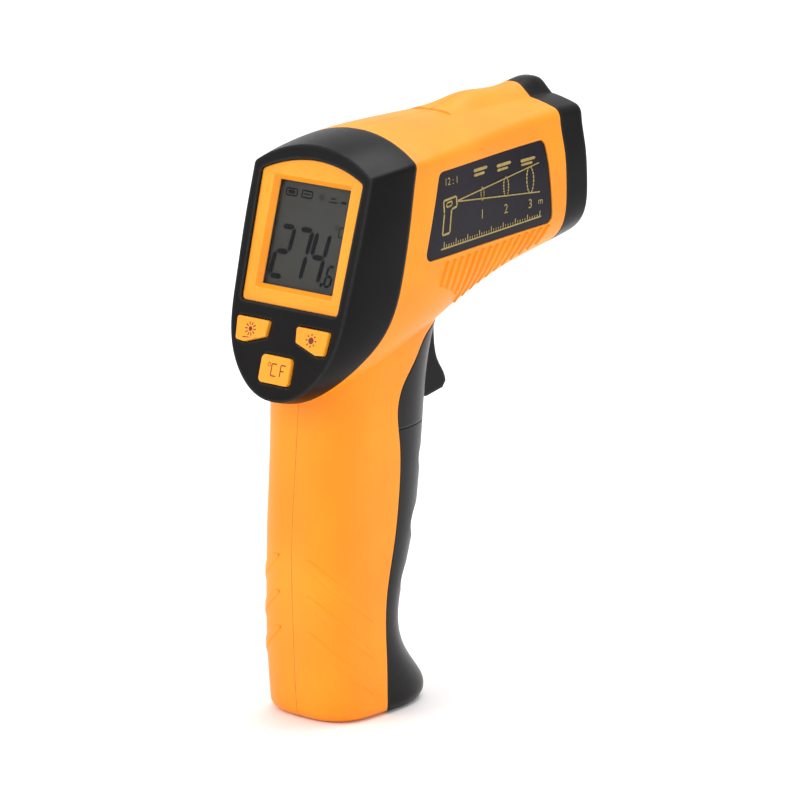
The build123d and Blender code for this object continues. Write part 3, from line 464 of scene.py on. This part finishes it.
def oval(x, v, half_width, half_height, count):
    """Corners of an oval: half its width times the cosine and half its height times the sine of the angle."""
    angle = np.linspace(0, 2 * np.pi, count, endpoint=False)
    return np.stack([x + half_width * np.cos(angle), v + half_height * np.sin(angle)], 1)


def disc_mark(x, v, radius):
    """A filled disc."""
    return oval(x, v, radius, radius, 16)


def ring_mark(x, v, radius, stroke, count=16):
    """Short strokes round a ring."""
    return outline(oval(x, v, radius, radius, count), stroke)


crystal = Finish("dark_crystal", Specular_IOR_Level=0.05)
crystal.set(Base_Color=crystal.ramp(crystal.grains(900.0), (0.3, paint(4, 4, 4)), (0.7, paint(9, 9, 8))),
            Roughness=crystal.grains(2500.0) * 0.1 + 0.5)
TALL = (4.2, 12.6, 1.35)
reading = digit("2", -10.9, -27.6, *TALL) + digit("7", -4.9, -27.6, *TALL)
reading += digit("4", 1.0, -27.6, *TALL) + [disc_mark(6.5, -27.7, 0.55)]
reading += digit("6", 7.4, -27.9, 1.9, 5.0, 0.75)
reading += box_mark(-10.2, -7.2, 3.6, 1.7, 0.4) + [bar_mark((-9.7, -6.35), (-7.1, -6.35), 0.9)]
reading += box_mark(-4.9, -7.2, 3.4, 1.7, 0.4) + [bar_mark((-4.4, -6.3), (-2.0, -6.3), 0.35)]
reading += ring_mark(1.8, -6.4, 0.8, 0.3) + [disc_mark(1.8, -6.4, 0.3)]
reading += [bar_mark((4.2, -7.2), (7.2, -7.2), 0.35), bar_mark((4.8, -6.3), (6.6, -6.3), 0.35),
            bar_mark((8.2, -6.9), (10.2, -6.9), 0.6)]
reading += ring_mark(8.4, -13.2, 0.55, 0.3, 10)
reading += [bar_mark((9.5, -13.0), (10.9, -13.0), 0.35), bar_mark((9.4, -13.0), (9.3, -15.4), 0.35),
            bar_mark((9.3, -15.4), (10.7, -15.4), 0.35)]
READING_DEPTH = 3.16
flat, faces = polygons(reading)
piece("display_reading", on_face(flat, READING_DEPTH), faces, crystal.data, "case", smooth=False)


# ---- keys ----
# Three orange keys stand a millimetre out of the hood, each with a printed mark: a laser burst, a lamp, the
# unit. The marks are thin pad print on the key tops and go in with the keys.
give(orange_frame, "laser_button", "backlight_button", "unit_button")
print_ink = Finish("key_print")
print_ink.set(Base_Color=print_ink.ramp(print_ink.grains(1500.0), (0.3, paint(96, 22, 14)),
                                        (0.7, paint(120, 34, 20))),
              Roughness=print_ink.grains(2500.0) * 0.1 + 0.5)


def burst(x, v, inner, outer, rays, stroke):
    """Rays all round a point, from the inner to the outer radius."""
    angle = np.linspace(0, 2 * np.pi, rays, endpoint=False)
    way = np.stack([np.cos(angle), np.sin(angle)], 1)
    return [bar_mark((x, v) + w * inner, (x, v) + w * outer, stroke) for w in way]


KEY_RISE = 1.4
PRINT_LIFT = 0.03 * MM


def key_print(name, marks, node, body):
    """Pad print lying on a key's top."""
    flat, faces = polygons(marks)
    points = drape(on_face(flat, -KEY_RISE), node, PRINT_LIFT)
    piece(name, points, faces, print_ink.data, body, smooth=False)


key_print("laser_mark", burst(-10.2, -41.6, 0.9, 1.9, 10, 0.3) + [disc_mark(-10.2, -41.6, 0.6)]
          + [bar_mark((-12.4, -43.9), (-8.0, -43.9), 0.3)], "laser_button", "laser_key")
key_print("lamp_mark", burst(10.2, -41.6, 1.1, 1.8, 8, 0.35) + [disc_mark(10.2, -41.6, 0.85)],
          "backlight_button", "backlight_key")
key_print("unit_mark", ring_mark(-1.9, -49.3, 0.5, 0.28, 10)
          + [bar_mark((-1.0, -49.0), (0.7, -49.0), 0.32), bar_mark((-1.0, -49.0), (-1.0, -52.0), 0.32),
             bar_mark((-1.0, -52.0), (0.7, -52.0), 0.32), bar_mark((2.0, -49.0), (2.0, -52.0), 0.32),
             bar_mark((2.0, -49.0), (3.6, -49.0), 0.32), bar_mark((2.0, -50.5), (3.2, -50.5), 0.32)],
          "unit_button", "unit_key")


# ---- side labels ----
# A glossy black plastic label is glued into a shallow recess on each side of the barrel.
# Its print in dull gold shows the spot growing with distance, with plain numbers and a plain scale below.
label_gloss = Finish("label_film", Specular_IOR_Level=0.14)
label_dust = label_gloss.grains(1300.0, 4.0, 0.6)
label_gloss.set(Base_Color=label_gloss.ramp(label_dust, (0.35, paint(18, 14, 22)), (0.7, paint(27, 22, 32))),
                Roughness=label_dust * 0.14 + 0.24,
                Normal=label_gloss.node("ShaderNodeBump", {}, {"Height": label_dust, "Strength": 0.05,
                                                               "Distance": 0.00005}))
give(label_gloss.data, "right_label", "left_label")
gold_ink = Finish("gold_print")
gold_ink.set(Base_Color=gold_ink.ramp(gold_ink.grains(1200.0), (0.3, paint(140, 118, 58)),
                                      (0.7, paint(168, 146, 78))),
             Roughness=gold_ink.grains(2500.0) * 0.1 + 0.42)


SIZE_TO_CAPITAL = 1.4


def lettering(text, height):
    """A line of plain text as flat points, centred, and its faces."""
    words = bpy.data.curves.new("words", "FONT")
    words.body = text
    words.size = height * SIZE_TO_CAPITAL
    words.align_x = "CENTER"
    words.align_y = "CENTER"
    words.resolution_u = 3
    holder = bpy.data.objects.new("words", words)
    bpy.context.scene.collection.objects.link(holder)
    mesh = bpy.data.meshes.new_from_object(holder.evaluated_get(bpy.context.evaluated_depsgraph_get()))
    bpy.data.objects.remove(holder)
    found = np.empty(len(mesh.vertices) * 3)
    mesh.vertices.foreach_get("co", found)
    return found.reshape(-1, 3)[:, :2], [np.array(face.vertices) for face in mesh.polygons]


drawing = outline([(-9.6, 131.4), (-4.2, 131.9), (-3.9, 129.2), (-6.2, 128.8), (-6.8, 122.8), (-9.8, 122.6),
                   (-9.2, 128.2)], 0.55)
drawing += outline([(-8.2, 130.7), (-6.0, 130.9), (-6.1, 129.8), (-8.3, 129.6)], 0.4)
drawing += [bar_mark((-3.6, 130.6), (31.0, 135.6), 0.36), bar_mark((-3.6, 130.4), (31.0, 127.4), 0.36)]
SPOT_SLIMNESS = 0.38
for centre, reach in ((7.0, 1.7), (17.0, 2.7), (27.0, 3.7)):
    drawing += outline(oval(centre, 130.75 + (centre - 7) * 0.03, reach * SPOT_SLIMNESS, reach, 20), 0.5)
    drawing += [bar_mark((centre - 3.4, 137.2), (centre + 2.8, 137.6), 0.8),
                bar_mark((centre - 3.4, 136.0), (centre + 1.4, 136.3), 0.7)]
SCALE_SLOPE = 0.033
TICK = 1.2
LONG_TICK_MORE = 0.8
drawing += [bar_mark((-10.4, 119.0), (31.8, 120.4), 0.4)]
for number, y in enumerate(np.linspace(-9.0, 31.0, 41)):
    foot = 119.2 + y * SCALE_SLOPE
    drawing += [bar_mark((y, foot), (y, foot + TICK + (LONG_TICK_MORE if number % 5 == 0 else 0)), 0.34)]
NUMBERS = [("1", 7.0, 125.2, 2.5), ("2", 17.0, 125.0, 2.5), ("3", 27.0, 124.7, 2.5), ("m", 31.2, 124.9, 1.9),
           ("12 : 1", -6.1, 136.0, 1.9)]
CLEAR_OF_CASE = 24.0
GOLD_LIFT = 0.04 * MM

for side, label in ((1, "right_label"), (-1, "left_label")):
    points, faces = polygons(drawing)
    points = np.stack([np.full(len(points), side * CLEAR_OF_CASE), points[:, 0], points[:, 1]], 1)
    for words, y, z, height in NUMBERS:
        letters, shapes = lettering(words, height)
        faces += [shape + len(points) for shape in shapes]
        out = np.full(len(letters), side * CLEAR_OF_CASE)
        points = np.concatenate([points, np.stack([out, y + side * letters[:, 0], z + letters[:, 1]], 1)])
    points = drape(points * MM, label, GOLD_LIFT)
    piece(label + "_print", points, faces, gold_ink.data, "case", smooth=False)


# ---- lens and laser in the nose ----
# Behind the ring sits a black barrel with a dark infrared lens, in front of the metal can of the heat sensor.
# The laser's brass module shines out through the small hole above.
barrel_black = moulded("barrel_black", paint(20, 20, 21), paint(28, 28, 29), paint(60, 60, 62), 0.5, 0.2)
give(barrel_black, "sensor_barrel", "laser_holder", "battery_tray")
infrared_lens = Finish("infrared_lens", Coat_Weight=0.4, Coat_Roughness=0.05)
infrared_lens.set(Base_Color=infrared_lens.ramp(infrared_lens.grains(160.0), (0.3, paint(58, 60, 66)),
                                                (0.7, paint(80, 82, 88))),
                  Roughness=infrared_lens.grains(900.0) * 0.12 + 0.12)
give(infrared_lens.data, "infrared_lens")
laser_glass = Finish("laser_lens", Coat_Weight=0.6, Coat_Roughness=0.03)
laser_glass.set(Base_Color=laser_glass.ramp(laser_glass.grains(300.0), (0.3, paint(70, 12, 14)),
                                            (0.7, paint(96, 20, 22))),
                Roughness=laser_glass.grains(900.0) * 0.08 + 0.06)
give(laser_glass.data, "laser_lens")


def metal(name, dull, bright, gloss, cells):
    """Bare metal: two tones in fine grains, the grains as a low bump, and gloss that changes with them."""
    finish = Finish(name, Metallic=1.0)
    streak = finish.grains(cells, 6.0, 0.7)
    rounded, rim = finish.edges(0.0002, 0.0003)
    tone = finish.ramp(streak, (0.3, dull), (0.7, bright))
    lines = finish.node("ShaderNodeBump", {}, {"Height": streak, "Strength": 0.15, "Distance": 0.00003,
                                               "Normal": rounded})
    finish.set(Base_Color=finish.mix(rim * 0.5, tone, (0.9, 0.9, 0.9, 1)), Roughness=streak * 0.2 + gloss,
               Normal=lines)
    return finish.data


steel = metal("zinc_steel", paint(150, 152, 156), paint(190, 192, 196), 0.22, 1600.0)
give(steel, "thermopile_sensor", "case_screws", "board_screws", "trigger_pin", "door_hinge_pin")
brass = metal("brass", paint(168, 132, 62), paint(202, 168, 92), 0.2, 1300.0)
give(brass, "laser_module")
spring_wire = metal("nickel_spring", paint(170, 172, 172), paint(205, 206, 204), 0.18, 2400.0)
give(spring_wire, "trigger_spring", "cell_contacts", "cell_springs")


# ---- electronics ----
# Green glass-epoxy boards carry a black chip, a buzzer and the key switches; a rubber strip joins board and
# glass. The two cells stand in a black tray, in plain sleeves with no print.
board = moulded("board_epoxy", paint(18, 84, 44), paint(26, 104, 56), paint(120, 150, 110), 0.35, 0.2)
give(board, "main_board", "sensor_board", "trigger_board")
chip = moulded("chip_epoxy", paint(28, 28, 30), paint(40, 40, 42), paint(90, 90, 92), 0.5, 0.3)
give(chip, "main_chip", "buzzer", "button_switches", "trigger_switch")
rubber = moulded("contact_rubber", paint(120, 60, 70), paint(140, 74, 84), paint(160, 110, 110), 0.7, 0.3)
give(rubber, "zebra_strip")
cell_sleeve = moulded("cell_sleeve", paint(58, 66, 78), paint(74, 84, 98), paint(150, 152, 156), 0.3, 0.05,
                      0.3)
give(cell_sleeve, "right_cell", "left_cell")
